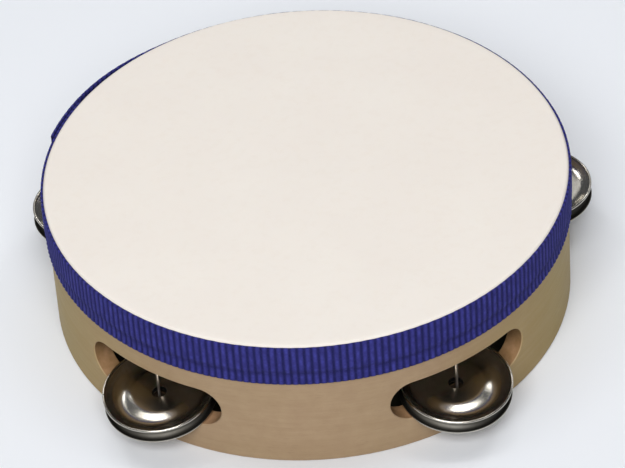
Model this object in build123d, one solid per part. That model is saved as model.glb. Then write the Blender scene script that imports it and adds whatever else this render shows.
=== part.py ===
from build123d import *
import math
import os

# Headed tambourine, 6 in across and 1 3/4 in deep. Millimetres, +Z up, open base on z = 0,
# origin on the drum's axis, -Y towards the front. Angles run from -Y towards +X.
os.makedirs("parts", exist_ok=True)

# Wooden hoop
HOOP_R = 76.0
HOOP_WALL = 6.5
HOOP_H = 43.6
HOOP_EASE = 0.8

# Jingle slots through the hoop
PAIR_ANGLES = [-36.0, 36.0, 110.0, 180.0, -108.0]
SLOT_FLOOR = 9.8
SLOT_H = 13.4
SLOT_W = 46.0
SLOT_EASE = 0.35

# Skin head: a disc folded down over the hoop as a skirt
SKIN_T = 0.4
SKIRT_T = 0.35
SKIRT_END_Z = 34.6
SKIRT_R = HOOP_R + SKIRT_T

# Ribbon glued round the rim over the skirt
RIBBON_T = 0.75
RIBBON_LOW_Z = 30.3
RIBBON_TOP_Z = 43.7
FIT = 0.02
LAP_FROM = -117.6
LAP_TO = -104.6

# Nail that each pair of jingles hangs on, driven up from the base
PIN_RING_R = 72.0
PIN_R = 0.45
PIN_TOP_Z = 29.0
HEAD_R = 1.2
HEAD_T = 0.4
HEAD_SUNK = 0.3

# Jingle: dished disc with a raised centre and a beaded rim; z = 0 on top of the raised centre
JINGLE_R = 16.2
JINGLE_T = 0.28
HOLE_R = 2.15
BOSS_R = 7.3
SHOULDER_R = 9.25
VALLEY_R = 11.2
VALLEY_DEPTH = 0.65
BEAD_R = 0.42
BEAD_RISE = 1.08
BEAD_RING_R = JINGLE_R - BEAD_R
HALF_PAIR = VALLEY_DEPTH + JINGLE_T + 0.01

# How each pair lies loose on its nail, in the order of PAIR_ANGLES:
# shift along the hoop, shift outwards, height of the pair's middle, outward tilt in degrees
PAIR_POSES = [
    (1.05, 0.95, 12.58, 7.5),
    (-1.1, 0.95, 12.58, 7.5),
    (1.25, -0.1, 12.42, 0.0),
    (0.2, 0.6, 12.28, 0.0),
    (-1.0, -0.4, 12.34, 0.0),
]


def revolved(points):
    """Solid of revolution about Z from a closed outline of (radius, height) points."""
    return revolve(Plane.XZ * make_face(Polyline(*points, close=True)), Axis.Z)


def edges_at(solid, radius, z):
    """The circular edges of one radius about Z at one height."""
    return [e for e in solid.edges().filter_by(GeomType.CIRCLE)
            if abs(e.radius - radius) < 0.01 and abs(e.center().Z - z) < 0.01]


def slot_cutter():
    """Obround bar along Y through the front of the wall, ends of full radius."""
    outline = Plane.XZ * SlotOverall(SLOT_W, SLOT_H)
    bar = extrude(outline, amount=HOOP_WALL * 2, both=True)
    return Pos(0, -PIN_RING_R, SLOT_FLOOR + SLOT_H / 2) * bar


def nail():
    """Wire nail at the front of the wall, its flat head sunk just inside the base."""
    shank = Cylinder(PIN_R, PIN_TOP_Z - HEAD_SUNK, align=(Align.CENTER, Align.CENTER, Align.MIN))
    head = Cylinder(HEAD_R, HEAD_T, align=(Align.CENTER, Align.CENTER, Align.MIN))
    return Pos(0, -PIN_RING_R, HEAD_SUNK) * (shank + head)


def nail_bore():
    """What the nail takes out of the wood, open at the base where its head is sunk."""
    mouth = Cylinder(HEAD_R, HEAD_SUNK + 1, align=(Align.CENTER, Align.CENTER, Align.MAX))
    return nail() + Pos(0, -PIN_RING_R, HEAD_SUNK) * mouth


def build_hoop():
    wall_in = HOOP_R - HOOP_WALL
    hoop = revolved([(wall_in, 0), (HOOP_R, 0), (HOOP_R, HOOP_H), (wall_in, HOOP_H)])
    rims = [edges_at(hoop, r, z) for r in (wall_in, HOOP_R) for z in (0, HOOP_H)]
    hoop = fillet([e for rim in rims for e in rim], HOOP_EASE)
    for angle in PAIR_ANGLES:
        hoop -= Rot(Z=angle) * slot_cutter()
    slot_arrises = [e for e in hoop.edges()
                    if SLOT_FLOOR - 0.1 < e.center().Z < SLOT_FLOOR + SLOT_H + 0.1
                    and e.bounding_box().size.Z < SLOT_H + 0.1
                    and on_wall_face(e)]
    hoop = fillet(slot_arrises, SLOT_EASE)
    for angle in PAIR_ANGLES:
        hoop -= Rot(Z=angle) * nail_bore()
    return hoop


def on_wall_face(edge):
    """True for an edge that lies all along the hoop's inner or outer face."""
    radii = [math.hypot(p.X, p.Y) for p in (edge @ 0, edge @ 0.5, edge @ 1)]
    faces = (HOOP_R, HOOP_R - HOOP_WALL)
    return any(all(abs(r - face) < 0.02 for r in radii) for face in faces)


def build_head():
    top = HOOP_H + SKIN_T
    head = revolved([(0, HOOP_H), (HOOP_R, HOOP_H), (HOOP_R, SKIRT_END_Z),
                     (SKIRT_R, SKIRT_END_Z), (SKIRT_R, top), (0, top)])
    head = fillet(edges_at(head, SKIRT_R, top), HOOP_EASE + SKIRT_T)
    return fillet(edges_at(head, HOOP_R, HOOP_H), HOOP_EASE)


def ribbon_outline(lift):
    """Section of the ribbon, moved outwards by lift where a second layer lies on the first."""
    low, over = HOOP_R + FIT + lift, SKIRT_R + FIT + lift
    inner = [(low, RIBBON_LOW_Z), (low, SKIRT_END_Z - 1.0), (over, SKIRT_END_Z - 0.2),
             (over, RIBBON_TOP_Z - 0.9), (over - 0.1, RIBBON_TOP_Z - 0.1)]
    outer = [(r + RIBBON_T, z) for r, z in inner]
    outer[-1] = (over - 0.1 + RIBBON_T, RIBBON_TOP_Z)
    return inner + outer[::-1]


def build_ribbon():
    """One layer all round, with the outer end lapped over the inner end."""
    band = revolved(ribbon_outline(0))
    lap_face = Plane.XZ * make_face(Polyline(*ribbon_outline(RIBBON_T - 0.01), close=True))
    lap = revolve(lap_face, Axis.Z, revolution_arc=LAP_TO - LAP_FROM)
    # the section is drawn on +X, which is 90 degrees round from -Y
    return band + Rot(Z=LAP_FROM - 90) * lap


def jingle():
    """Pressed disc facing up, rising from its valley to the rim and to the raised centre."""
    sheet_top = BEAD_RISE + JINGLE_T / 2

    def skin(drop):
        shoulder = Spline((BOSS_R, -drop), (SHOULDER_R, -VALLEY_DEPTH / 2 - drop),
                          (VALLEY_R, -VALLEY_DEPTH - drop), tangents=((1, 0), (1, 0)))
        flange = Spline((VALLEY_R, -VALLEY_DEPTH - drop), (BEAD_RING_R, sheet_top - drop),
                        tangents=((1, 0), (1, 0.5)))
        return [Line((HOLE_R, -drop), (BOSS_R, -drop)), shoulder, flange]

    upper, lower = skin(0), skin(JINGLE_T)
    ends = [Line((HOLE_R, 0), (HOLE_R, -JINGLE_T)),
            Line((BEAD_RING_R, sheet_top), (BEAD_RING_R, sheet_top - JINGLE_T))]
    section = make_face(upper + lower + ends) + Pos(BEAD_RING_R, BEAD_RISE) * Circle(BEAD_R)
    return revolve(Plane.XZ * section, Axis.Z)


def place_pair(angle, pose):
    """The upper and lower jingle of one pair, back to back, on the nail at one angle."""
    along, outwards, middle_z, tilt = pose
    seat = Rot(Z=angle) * Pos(along, -PIN_RING_R - outwards, middle_z) * Rot(X=tilt)
    upper = seat * Pos(0, 0, HALF_PAIR) * jingle()
    lower = seat * Rot(X=180) * Pos(0, 0, HALF_PAIR) * jingle()
    return upper, lower


export_step(build_hoop(), "parts/frame_hoop.step")
export_step(build_head(), "parts/drumhead.step")
export_step(build_ribbon(), "parts/rim_ribbon.step")
for number, (angle, pose) in enumerate(zip(PAIR_ANGLES, PAIR_POSES), start=1):
    upper, lower = place_pair(angle, pose)
    export_step(Rot(Z=angle) * nail(), f"parts/jingle_pin_{number}.step")
    export_step(upper, f"parts/jingle_upper_{number}.step")
    export_step(lower, f"parts/jingle_lower_{number}.step")
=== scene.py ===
"""Headed tambourine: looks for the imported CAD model. Metres, +Z up, base on z = 0."""

import math

import bpy
from mathutils import Matrix, Vector, noise


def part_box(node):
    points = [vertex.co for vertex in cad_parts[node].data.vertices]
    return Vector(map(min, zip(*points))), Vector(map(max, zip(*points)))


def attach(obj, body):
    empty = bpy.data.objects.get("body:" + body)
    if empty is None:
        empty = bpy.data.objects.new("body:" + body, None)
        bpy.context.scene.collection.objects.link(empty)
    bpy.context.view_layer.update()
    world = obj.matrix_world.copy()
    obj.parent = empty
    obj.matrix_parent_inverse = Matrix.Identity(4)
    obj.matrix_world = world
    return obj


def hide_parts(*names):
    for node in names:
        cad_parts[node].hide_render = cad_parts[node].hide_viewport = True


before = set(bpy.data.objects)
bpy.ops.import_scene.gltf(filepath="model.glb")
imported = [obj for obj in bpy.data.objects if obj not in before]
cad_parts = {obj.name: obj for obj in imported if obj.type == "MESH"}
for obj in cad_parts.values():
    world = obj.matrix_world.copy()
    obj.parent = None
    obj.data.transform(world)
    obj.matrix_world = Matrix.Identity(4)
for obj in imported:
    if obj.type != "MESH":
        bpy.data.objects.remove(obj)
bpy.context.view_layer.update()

MM = 0.001
PAIRS = range(1, 6)

# Wooden hoop: its wall, its eased corners, and the height of its slots' middle
HOOP_R, _, HOOP_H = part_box("frame_hoop")[1]
HOOP_WALL = 6.5 * MM
HOOP_EASE = 0.8 * MM
INNER_R = HOOP_R - HOOP_WALL
SLOT_Z = 16.5 * MM
SLOT_HALF_H = 6.7 * MM
NAILS = [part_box(f"jingle_pin_{number}") for number in PAIRS]

# Drum skin, folded down outside the hoop as a skirt
HEAD_LOW, HEAD_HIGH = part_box("drumhead")
SKIRT_R = HEAD_HIGH[0]
SKIRT_T = SKIRT_R - HOOP_R
SHOULDER_R = HOOP_EASE + SKIRT_T
SWELL = 0.09 * MM

# Ribbon: its section, and where its two ends lie (degrees from -Y towards +X)
RIBBON_LOW, RIBBON_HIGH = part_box("rim_ribbon")
RIBBON_T = 0.66 * MM
RIBBON_WIDTH = 13.4 * MM
RIBBON_GAP = 0.03 * MM
RIB_PITCH = 1.98 * MM
RIB_DEPTH = 0.28 * MM
CREASE_AT = 0.7
LAP_START = -117.6
LAP_END = -104.6 + 360
LAP_RAMP = 42 * MM
LAP_PROUD = 0.45 * MM
BACK_SAG = 0.55 * MM
RIBBON_TURN_R = SKIRT_R + 0.35 * MM
RIBBON_LENGTH = math.radians(LAP_END - LAP_START) * RIBBON_TURN_R


# ---------------------------------------------------------------- node helpers

class Shader:
    """A material's node tree with short ways to add and join nodes."""

    def __init__(self, name):
        self.material = bpy.data.materials.new(name)
        self.material.use_nodes = True
        self.tree = self.material.node_tree
        self.bsdf = self.tree.nodes["Principled BSDF"]

    def node(self, kind, inputs=None, **settings):
        made = self.tree.nodes.new(kind)
        for key, value in settings.items():
            setattr(made, key, value)
        for key, value in (inputs or {}).items():
            self.feed(made.inputs[key], value)
        return made

    def feed(self, socket, value):
        """Links an output, or sets a plain value."""
        if isinstance(value, bpy.types.NodeSocket):
            self.tree.links.new(value, socket)
        else:
            socket.default_value = value

    def math(self, operation, a, b=0.0, clamp=False):
        return self.node("ShaderNodeMath", {0: a, 1: b}, operation=operation, use_clamp=clamp).outputs[0]

    def vector(self, x, y, z):
        return self.node("ShaderNodeCombineXYZ", {0: x, 1: y, 2: z}).outputs[0]

    def object_xyz(self):
        place = self.node("ShaderNodeTexCoord").outputs["Object"]
        parts = self.node("ShaderNodeSeparateXYZ", {0: place})
        return parts.outputs[0], parts.outputs[1], parts.outputs[2]

    def noise(self, vector, scale, detail=3.0, roughness=0.5, distortion=0.0):
        made = self.node("ShaderNodeTexNoise", {"Vector": vector, "Scale": scale, "Detail": detail,
                                                "Roughness": roughness, "Distortion": distortion})
        return made.outputs["Fac"]

    def spread(self, value, low, high, to_low=0.0, to_high=1.0):
        """Maps low..high to to_low..to_high, clamped."""
        made = self.node("ShaderNodeMapRange", {"Value": value, "From Min": low, "From Max": high,
                                                "To Min": to_low, "To Max": to_high})
        return made.outputs["Result"]

    def mix(self, factor, a, b, blend="MIX"):
        made = self.node("ShaderNodeMix", data_type="RGBA", blend_type=blend)
        self.feed(made.inputs[0], factor)
        self.feed(made.inputs[6], a)
        self.feed(made.inputs[7], b)
        return made.outputs[2]

    def from_axis(self):
        """Distance from the drum's axis, angle from -Y towards +X, and height: metres and radians."""
        x, y, z = self.object_xyz()
        radius = self.length(x, y)
        return radius, self.math("ARCTAN2", x, self.math("MULTIPLY", y, -1.0)), z

    def length(self, a, b):
        return self.math("SQRT", self.math("ADD", self.math("MULTIPLY", a, a), self.math("MULTIPLY", b, b)))

    def from_middle(self, box):
        """Distance from the upright axis through the middle of a box."""
        low, high = box
        x, y, _ = self.object_xyz()
        return self.length(self.math("SUBTRACT", x, (low[0] + high[0]) / 2),
                           self.math("SUBTRACT", y, (low[1] + high[1]) / 2))

    def from_nearest_nail(self):
        nearest = self.from_middle(NAILS[0])
        for nail in NAILS[1:]:
            nearest = self.math("MINIMUM", nearest, self.from_middle(nail))
        return nearest

    def bump(self, height, distance, strength=1.0, under=None):
        made = self.node("ShaderNodeBump", {"Height": height, "Distance": distance, "Strength": strength})
        if under is not None:
            self.feed(made.inputs["Normal"], under)
        return made.outputs["Normal"]

    def surface(self, **values):
        """Feeds the Principled shader's own sockets."""
        for key, value in values.items():
            self.feed(self.bsdf.inputs[key.replace("_", " ")], value)
        return self.material


def srgb(red, green, blue):
    """0-255 sRGB to a linear RGBA colour."""
    def linear(c):
        c /= 255
        return c / 12.92 if c <= 0.04045 else ((c + 0.055) / 1.055) ** 2.4
    return (linear(red), linear(green), linear(blue), 1.0)


# ---------------------------------------------------------------- materials

def wood_fibres(s, along, z, radius):
    """How far a point lies in a dark fibre, and in a pore; both run round the hoop."""
    fibre_at = s.vector(s.math("MULTIPLY", along, 0.06), z, radius)
    pore_at = s.vector(s.math("MULTIPLY", along, 0.12), z, radius)
    fibre = s.noise(fibre_at, 900.0, 3.0, 0.6, 0.3)
    return fibre, s.spread(s.noise(pore_at, 3600.0, 1.0), 0.62, 0.74)


def painted_side_shade(s, angle):
    """How much painted shade, darker and olive, lies on the hoop: most at its two sides, least in front,
    little behind.
    """
    from_front = s.math("ABSOLUTE", angle)
    return s.math("MULTIPLY", s.spread(from_front, 0.5, 1.2), s.spread(from_front, 1.5, 2.3, 1.0, 0.25))


def wood_cut_faces(s, colour, mottle, radius, z):
    """Inner wall darker, as unvarnished wood and painted shade; slot faces with painted light below and
    painted shade above; and dark near the nails, as rub marks from the metal and painted shade under the
    jingles.
    """
    # Inner wall: unvarnished wood, darkened further as painted shade inside the closed drum.
    raw_and_shaded_inside = s.spread(radius, INNER_R + 0.1 * MM, INNER_R + 0.5 * MM, 1.0, 0.0)
    colour = s.mix(s.math("MULTIPLY", raw_and_shaded_inside, 0.8), colour, srgb(112, 88, 62))
    cut = s.spread(radius, HOOP_R - 0.5 * MM, HOOP_R - 0.2 * MM, 1.0, 0.0)
    in_wall = s.spread(radius, INNER_R + 0.1 * MM, INNER_R + 0.5 * MM)
    # Slot faces: painted light, warm, low down, and painted shade, dark olive, towards the slot's roof.
    cut_face = s.mix(s.spread(mottle, 0.35, 0.65), srgb(186, 144, 108), srgb(154, 116, 80))
    cut_face = s.mix(s.spread(z, SLOT_Z - 3 * MM, SLOT_Z + 6 * MM, 0.0, 0.75), cut_face, srgb(98, 82, 40))
    colour = s.mix(s.math("MULTIPLY", s.math("MULTIPLY", cut, in_wall), 0.8), colour, cut_face)
    # Dark near the nails: rub marks from the metal and painted shade under the jingles.
    from_slot = s.math("ABSOLUTE", s.math("SUBTRACT", z, SLOT_Z))
    in_slot = s.spread(from_slot, SLOT_HALF_H + 0.1 * MM, SLOT_HALF_H + 0.5 * MM, 1.0, 0.0)
    nail_marks_and_shade = s.math("MULTIPLY", s.math("MULTIPLY", cut, s.math("MULTIPLY", in_wall, in_slot)),
                    s.spread(s.from_nearest_nail(), 3.0 * MM, 9.0 * MM, 0.95, 0.0))
    return s.mix(nail_marks_and_shade, colour, srgb(24, 20, 14))


def wood_material():
    """Bent pale hardwood under a thin varnish, with a painted highlight along its eased corners."""
    s = Shader("varnished_wood")
    radius, angle, z = s.from_axis()
    along = s.math("MULTIPLY", angle, HOOP_R)
    grain = s.vector(along, z, radius)
    tone = s.noise(grain, 30.0, 3.0)
    mottle = s.noise(grain, 260.0, 3.0, 0.6)
    fibre, pores = wood_fibres(s, along, z, radius)
    colour = s.mix(s.spread(mottle, 0.3, 0.7), srgb(164, 137, 107), srgb(172, 146, 115))
    colour = s.mix(s.spread(fibre, 0.3, 0.7, 0.0, 0.35), colour, srgb(150, 122, 92))
    colour = s.mix(s.spread(tone, 0.3, 0.7, 0.0, 0.3), colour, srgb(158, 136, 98))
    # Painted shade: darker and olive towards the hoop's two sides, which turn away from the front.
    colour = s.mix(s.math("MULTIPLY", painted_side_shade(s, angle), 0.85), colour, srgb(156, 133, 66))
    colour = s.mix(s.math("MULTIPLY", pores, 0.15), colour, srgb(110, 82, 56))
    colour = wood_cut_faces(s, colour, mottle, radius, z)
    # Painted highlight: a pale line along the eased corners.
    edge_highlight = s.math("SUBTRACT", s.spread(radius, HOOP_R - 0.42 * MM, HOOP_R - 0.2 * MM),
                   s.spread(radius, HOOP_R - 0.14 * MM, HOOP_R - 0.08 * MM))
    colour = s.mix(s.math("MULTIPLY", edge_highlight, 0.6), colour, srgb(196, 168, 136))
    rough = s.spread(fibre, 0.3, 0.7, 0.46, 0.56)
    height = s.math("SUBTRACT", fibre, s.math("MULTIPLY", pores, 0.5))
    return s.surface(Base_Color=colour, Roughness=rough, Specular_IOR_Level=0.3,
                     Normal=s.bump(height, 0.04 * MM, 0.5))


def skin_material():
    """Smooth matt drum skin, with clouding a hand wide and a very fine tooth."""
    s = Shader("drum_skin")
    x, y, z = s.object_xyz()
    place = s.vector(x, y, z)
    clouds = s.noise(place, 38.0, 3.0, 0.55)
    specks = s.noise(place, 420.0, 2.0)
    tooth = s.noise(place, 2600.0, 2.0)
    colour = s.mix(s.spread(clouds, 0.3, 0.7), srgb(239, 231, 222), srgb(241, 234, 225))
    colour = s.mix(s.spread(specks, 0.5, 0.8, 0.0, 0.16), colour, srgb(230, 218, 204))
    return s.surface(Base_Color=colour, Roughness=s.spread(specks, 0.3, 0.7, 0.5, 0.62),
                     Subsurface_Weight=0.08, Subsurface_Scale=0.4 * MM, Subsurface_Radius=(1.0, 0.8, 0.6),
                     Normal=s.bump(tooth, 0.02 * MM, 0.5))


def ribbon_material():
    """Ribbed woven ribbon: painted highlight on the backs of the ribs, painted shade in the gaps between
    them, and threads crossing them.
    """
    s = Shader("ribbed_ribbon")
    uv = s.node("ShaderNodeTexCoord").outputs["UV"]
    parts = s.node("ShaderNodeSeparateXYZ", {0: uv})
    along, across = parts.outputs[0], parts.outputs[1]
    rib = s.math("ABSOLUTE", s.math("SINE", s.math("MULTIPLY", along, math.pi)))
    # Painted light and shade: the backs of the ribs lighter, the gaps between them darker.
    back = s.spread(rib, 0.35, 0.95)
    blotch = s.noise(s.vector(s.math("MULTIPLY", along, 0.5), across, 0.0), 2.2, 3.0, 0.6)
    thread_at = s.vector(s.math("MULTIPLY", along, 6.0), s.math("MULTIPLY", across, 30.0), 0.0)
    threads = s.noise(thread_at, 1.0, 2.0)
    uneven = s.noise(s.vector(s.math("MULTIPLY", along, 0.9), s.math("MULTIPLY", across, 0.5), 3.0), 1.4, 2.0)
    back = s.math("MULTIPLY", back, s.spread(uneven, 0.3, 0.65, 0.45, 1.0))
    colour = s.mix(back, srgb(17, 16, 66), srgb(62, 62, 146))
    colour = s.mix(s.spread(blotch, 0.35, 0.65, 0.0, 0.45), colour, srgb(34, 36, 98))
    colour = s.mix(s.spread(threads, 0.35, 0.75, 0.0, 0.22), colour, srgb(80, 80, 160))
    # Painted shade: a dark band along the ribbon's crease, where it steps in.
    drift = s.math("MULTIPLY", s.noise(s.vector(s.math("MULTIPLY", along, 0.12), 7.0, 0.0), 1.0, 1.0), 0.12)
    down = s.math("ADD", s.math("MULTIPLY", across, RIB_PITCH / RIBBON_WIDTH),
                  s.math("SUBTRACT", drift, 0.06))
    crease = s.spread(s.math("ABSOLUTE", s.math("SUBTRACT", down, CREASE_AT)), 0.02, 0.11, 0.5, 0.0)
    crease = s.math("MULTIPLY", crease, s.spread(blotch, 0.3, 0.6, 0.4, 1.0))
    colour = s.mix(crease, colour, srgb(14, 16, 56))
    return s.surface(Base_Color=colour, Roughness=0.85, Sheen_Weight=0.1, Sheen_Roughness=0.4,
                     Sheen_Tint=srgb(120, 120, 210), Specular_IOR_Level=0.15,
                     Normal=s.bump(threads, 0.12 * MM, 0.7))


def jingle_material(node, shade, hidden_side):
    """Nickel-plated pressed steel: rings about the jingle's own middle, dull patches, and darkening on the
    side (up 1, down -1) where the backs of the pair face each other, partly tarnished metal and partly
    painted shade between the pair."""
    s = Shader(node + "_plate")
    place = s.vector(*s.object_xyz())
    ring = s.from_middle(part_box(node))
    worn = s.noise(place, 160.0, 4.0, 0.6)
    fine = s.noise(place, 2400.0, 2.0)
    spun = s.noise(s.vector(ring, 0.0, 0.0), 2600.0, 2.0)
    colour = s.mix(s.spread(worn, 0.35, 0.7), srgb(206, 202, 192), shade)
    colour = s.mix(s.spread(spun, 0.4, 0.7, 0.0, 0.2), colour, srgb(150, 142, 130))
    # Painted shade with tarnished metal: dark on the faces hidden between the pair, most in the middle and
    # under the bead.
    normal = s.node("ShaderNodeNewGeometry").outputs["Normal"]
    facing = s.node("ShaderNodeSeparateXYZ", {0: normal}).outputs[2]
    inner = s.spread(s.math("MULTIPLY", facing, hidden_side), 0.2, 0.5)
    middle = s.spread(ring, 5.5 * MM, 8.5 * MM, 0.95, 0.65)
    under_bead = s.spread(ring, 14.4 * MM, 15.2 * MM, 0.0, 0.3)
    dulled_and_shaded = s.math("MULTIPLY", inner, s.math("ADD", middle, under_bead, clamp=True))
    colour = s.mix(dulled_and_shaded, colour, srgb(18, 16, 12))
    rough = s.math("ADD", s.spread(worn, 0.3, 0.75, 0.14, 0.23), s.math("MULTIPLY", fine, 0.04))
    rough = s.math("ADD", rough, s.math("MULTIPLY", dulled_and_shaded, 0.4))
    waves = s.bump(s.noise(place, 260.0, 2.0), 0.03 * MM, 0.3)
    return s.surface(Base_Color=colour, Metallic=1.0, Roughness=rough,
                     Normal=s.bump(spun, 0.003 * MM, 0.5, under=waves))


def nail_material():
    """Dulled drawn steel wire with fine lengthwise marks."""
    s = Shader("nail_steel")
    x, y, z = s.object_xyz()
    marks = s.noise(s.vector(x, y, s.math("MULTIPLY", z, 0.05)), 5200.0, 2.0)
    colour = s.mix(marks, srgb(184, 174, 164), srgb(210, 200, 190))
    return s.surface(Base_Color=colour, Metallic=1.0, Roughness=s.spread(marks, 0.3, 0.7, 0.3, 0.42),
                     Normal=s.bump(marks, 0.01 * MM, 0.4))


# ---------------------------------------------------------------- meshes

def mesh_piece(name, points, faces, material, smooth=True):
    mesh = bpy.data.meshes.new(name)
    mesh.from_pydata(points, [], faces)
    mesh.update()
    if smooth:
        mesh.shade_smooth()
    mesh.materials.append(material)
    piece = bpy.data.objects.new(name, mesh)
    bpy.context.scene.collection.objects.link(piece)
    return piece


def polar(radius, degrees, z):
    """A point at an angle from -Y towards +X."""
    a = math.radians(degrees)
    return (radius * math.sin(a), -radius * math.cos(a), z)


def arc(centre_r, centre_z, radius, start, end, steps):
    """(radius, height) points along an arc in the section plane, angles in degrees from outwards."""
    for i in range(steps + 1):
        a = math.radians(start + (end - start) * i / steps)
        yield (centre_r + radius * math.cos(a), centre_z + radius * math.sin(a))


def skin_section():
    """Closed section of the skin from its centre, over the shoulder, down the skirt and back inside."""
    top, corner = HEAD_HIGH[2], HOOP_R - HOOP_EASE
    flat = [corner * f for f in (0.04, 0.1, 0.2, 0.3, 0.4, 0.5, 0.6, 0.7, 0.8, 0.87, 0.93, 0.975)]
    outside = [(r, top) for r in flat]
    outside += list(arc(corner, top - SHOULDER_R, SHOULDER_R, 90, 0, 8))
    outside += [(SKIRT_R, HEAD_LOW[2] + f * (top - HEAD_LOW[2])) for f in (0.6, 0.4, 0.2, 0.04)]
    outside += [(SKIRT_R - 0.3 * SKIRT_T, HEAD_LOW[2]), (HOOP_R + 0.3 * SKIRT_T, HEAD_LOW[2])]
    inside = [(HOOP_R, HEAD_LOW[2] + f * (top - HEAD_LOW[2])) for f in (0.04, 0.2, 0.4, 0.6)]
    inside += list(arc(corner, HOOP_H - HOOP_EASE, HOOP_EASE, 0, 90, 6))
    inside += [(r, HOOP_H) for r in reversed(flat)]
    return outside + inside


def drape(r, degrees):
    """How far the membrane stands above or below flat, dying out at the hoop."""
    x, y, _ = polar(r, degrees, 0)
    swell = noise.noise(Vector((x, y, 0.3)) * 26.0) + 0.4 * noise.noise(Vector((x, y, 1.7)) * 70.0)
    hold = 1 - min(1.0, max(0.0, (r - 0.6 * HOOP_R) / (0.36 * HOOP_R)))
    return SWELL * swell * hold


def make_skin(material, sides=256):
    """The membrane and its folded skirt as one closed surface."""
    section = skin_section()
    points, faces = [], []
    for i in range(sides):
        degrees = 360 * i / sides
        for r, z in section:
            points.append(polar(r, degrees, z + (drape(r, degrees) if z > HOOP_H - 1e-6 else 0.0)))
    n = len(section)
    for i in range(sides):
        j = (i + 1) % sides
        for k in range(n - 1):
            faces.append((i * n + k, j * n + k, j * n + k + 1, i * n + k + 1))
    top_hub, low_hub = len(points), len(points) + 1
    points += [(0, 0, HEAD_HIGH[2] + drape(0, 0)), (0, 0, HOOP_H + drape(0, 0))]
    for i in range(sides):
        j = (i + 1) % sides
        faces.append((top_hub, j * n, i * n))
        faces.append((low_hub, i * n + n - 1, j * n + n - 1))
    return mesh_piece("skin_membrane", points, [f[::-1] for f in faces], material)


def smooth(share):
    """0 to 1 with level ends, for a share that is held between them."""
    share = min(1.0, max(0.0, share))
    return share * share * (3 - 2 * share)


def ribbon_lift(along):
    """How far the ribbon stands off the skirt at a distance along it: up and over its own start."""
    over_start = RIBBON_LENGTH - math.radians(LAP_END - 360 - LAP_START) * RIBBON_TURN_R
    return (RIBBON_T + LAP_PROUD) * smooth((along - over_start + LAP_RAMP) / LAP_RAMP)


def ribbon_sag(degrees):
    """How much lower the ribbon's top edge lies behind the drum than in front."""
    return BACK_SAG * smooth((math.cos(math.radians(degrees - 165)) - 0.35) / 0.4)


def ribbon_rows():
    """Across the ribbon, top to bottom: (share of the width, height, stand-off from the skirt)."""
    rows = 19
    for i in range(rows):
        v = i / (rows - 1)
        z = RIBBON_HIGH[2] - v * (RIBBON_HIGH[2] - RIBBON_LOW[2])
        top_roll = -0.14 * MM * max(0.0, 1 - v / 0.12) ** 2
        crease = -(SKIRT_T - 0.03 * MM) * smooth((HEAD_LOW[2] + 0.9 * MM - z) / (1.3 * MM))
        flare = 0.22 * MM * max(0.0, (v - 0.8) / 0.2) ** 2
        yield v, z, top_roll + crease + flare


def ribbon_points(columns, per_rib, is_outer):
    """Points of the ribbon's outer, ribbed face or of its flat inner face, column by column."""
    rows = list(ribbon_rows())
    for c in range(columns + 1):
        along = RIBBON_LENGTH * c / columns
        degrees = LAP_START + math.degrees(along / RIBBON_TURN_R)
        rib = abs(math.sin(math.pi * c / per_rib))
        scallop = 0.5 + 0.5 * math.cos(math.pi * c / per_rib)
        sway = noise.noise(Vector((along * 60.0, 0.0, 4.0)))
        for v, z, off in rows:
            top_edge = 1 - min(1.0, v / 0.1)
            low_edge = max(0.0, (v - 0.9) / 0.1)
            out = SKIRT_R + RIBBON_GAP + off + ribbon_lift(along)
            if is_outer:
                out += RIBBON_T - RIB_DEPTH * (1 - 0.75 * top_edge) * (1 - rib ** 0.6)
            height = z - top_edge * (0.06 * MM * scallop + 0.08 * MM * (1 + sway) + ribbon_sag(degrees))
            height += low_edge * 0.1 * MM * rib
            yield polar(out, degrees, height), (c / per_rib, v * RIBBON_WIDTH / RIB_PITCH)


def ribbon_faces(columns, n, inner):
    """Quads of both faces, both long edges and both ends; n points a column, inner face from inner."""
    for c in range(columns):
        here, there = c * n, (c + 1) * n
        for r in range(n - 1):
            yield (here + r, here + r + 1, there + r + 1, there + r)
            yield (inner + there + r, inner + there + r + 1, inner + here + r + 1, inner + here + r)
        low = n - 1
        yield (here, there, inner + there, inner + here)
        yield (inner + here + low, inner + there + low, there + low, here + low)
    for r in range(n - 1):
        yield (inner + r, inner + r + 1, r + 1, r)
    for r in range(columns * n, columns * n + n - 1):
        yield (r, r + 1, inner + r + 1, inner + r)


def make_ribbon(material):
    """Ribbed strip wound once round the rim, its end lapped over its start."""
    per_rib = 8
    columns = round(RIBBON_LENGTH / RIB_PITCH) * per_rib
    rows = len(list(ribbon_rows()))
    outer = list(ribbon_points(columns, per_rib, True))
    inner = list(ribbon_points(columns, per_rib, False))
    points = [point for point, _ in outer + inner]
    uvs = [uv for _, uv in outer + inner]
    piece = mesh_piece("ribbed_ribbon", points, list(ribbon_faces(columns, rows, len(outer))), material)
    layer = piece.data.uv_layers.new(name="along_and_across")
    for loop in piece.data.loops:
        layer.data[loop.index].uv = uvs[loop.vertex_index]
    return piece


# ---------------------------------------------------------------- set

def make_floor():
    """Pale plain floor, with painted shade, dark olive, inside the hoop where the slots let the eye in."""
    s = Shader("pale_floor")
    x, y, z = s.object_xyz()
    drift = s.noise(s.vector(x, y, z), 1.5, 1.0)
    pale = s.mix(drift, srgb(240, 243, 248), srgb(243, 246, 250))
    # Painted shade: the floor inside the hoop dark.
    painted_shade_under_drum = s.spread(s.length(x, y), INNER_R - 1.5 * MM, INNER_R, 1.0, 0.0)
    s.surface(Base_Color=s.mix(painted_shade_under_drum, pale, srgb(58, 58, 46)), Roughness=0.85, Specular_IOR_Level=0.1)
    size = 6.0
    corners = [(-size, -size, 0), (size, -size, 0), (size, size, 0), (-size, size, 0)]
    floor = mesh_piece("floor", corners, [(0, 1, 2, 3)], s.material, smooth=False)


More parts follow.
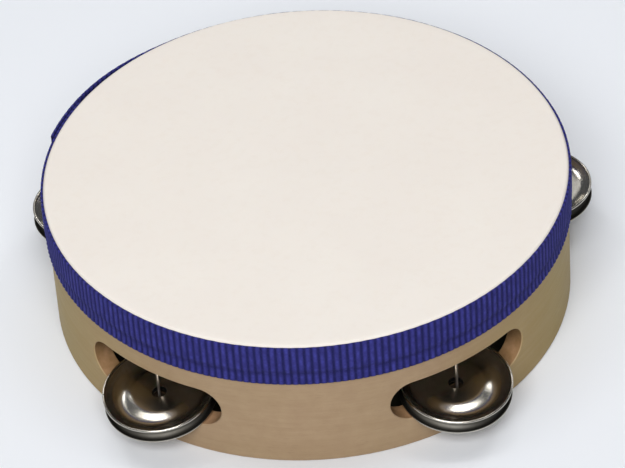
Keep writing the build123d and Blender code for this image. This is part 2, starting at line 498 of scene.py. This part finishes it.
def softbox(name, place, target, size, watts, colour=(1.0, 1.0, 1.0)):
    """Area lamp at a place, facing a target."""
    lamp = bpy.data.lights.new(name, "AREA")
    lamp.shape = "RECTANGLE"
    lamp.size, lamp.size_y = size
    lamp.energy = watts
    lamp.color = colour
    obj = bpy.data.objects.new(name, lamp)
    obj.location = place
    obj.rotation_euler = (Vector(target) - Vector(place)).to_track_quat("-Z", "Y").to_euler()
    bpy.context.scene.collection.objects.link(obj)


def light_the_set():
    """A broad key from the camera's side, with small bright boxes for the metal to mirror."""
    centre = (0.0, 0.0, 0.02)
    softbox("key", (-0.1, -1.3, 1.35), centre, (1.3, 0.8), 27.0)
    softbox("overhead", (0.0, 0.2, 1.5), centre, (1.7, 0.16), 4.6, (1.0, 0.99, 0.98))
    softbox("overhead_spill", (0.0, 0.16, 1.55), centre, (1.7, 0.5), 2.8, (1.0, 0.99, 0.98))
    softbox("back_panel", (0.0, 1.5, 1.2), centre, (1.5, 0.4), 1.5)
    softbox("left_box", (-0.7, 0.92, 1.1), centre, (0.24, 0.24), 1.6)
    softbox("right_box", (0.7, 0.92, 1.1), centre, (0.24, 0.24), 1.6)
    world = bpy.data.worlds.new("studio")
    bpy.context.scene.world = world
    world.use_nodes = True
    world.node_tree.nodes["Background"].inputs["Color"].default_value = srgb(226, 232, 244)
    world.node_tree.nodes["Background"].inputs["Strength"].default_value = 0.12


def make_camera():
    """A long lens at the photograph's viewing angle, rolled a little clockwise."""
    azimuth, elevation, roll = math.radians(3.92), math.radians(41.21), math.radians(-4.38)
    distance, lens = 1.187, 230.4
    back = Vector((math.sin(azimuth) * math.cos(elevation), -math.cos(azimuth) * math.cos(elevation),
                   math.sin(elevation)))
    level = Vector((math.cos(azimuth), math.sin(azimuth), 0))
    up = back.cross(level)
    right = math.cos(roll) * level + math.sin(roll) * up
    rise = -math.sin(roll) * level + math.cos(roll) * up
    place = back * distance
    look_at = right * -0.0004 + rise * 0.0147
    back = (place - look_at).normalized()
    right = (right - right.dot(back) * back).normalized()
    rise = back.cross(right)
    data = bpy.data.cameras.new("camera")
    data.lens = lens
    data.sensor_width = 36.0
    data.clip_start = 0.01
    camera = bpy.data.objects.new("camera", data)
    camera.matrix_world = Matrix.Translation(place) @ Matrix((right, rise, back)).transposed().to_4x4()
    bpy.context.scene.collection.objects.link(camera)
    bpy.context.scene.camera = camera


def give(node, material):
    """Makes a material the only one of a CAD node."""
    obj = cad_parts[node]
    obj.data.materials.clear()
    obj.data.materials.append(material)


def dress_cad_nodes():
    give("frame_hoop", wood_material())
    nail = nail_material()
    for number in PAIRS:
        give(f"jingle_pin_{number}", nail)
        for node, hidden_side in ((f"jingle_upper_{number}", -1.0), (f"jingle_lower_{number}", 1.0)):
            give(node, jingle_material(node, srgb(190, 184, 172), hidden_side))


make_floor()
light_the_set()
make_camera()
dress_cad_nodes()

skin = make_skin(skin_material())
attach(skin, "drum")
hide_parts("drumhead")

ribbon = make_ribbon(ribbon_material())
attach(ribbon, "drum")
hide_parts("rim_ribbon")

bpy.context.scene.view_settings.view_transform = "Standard"
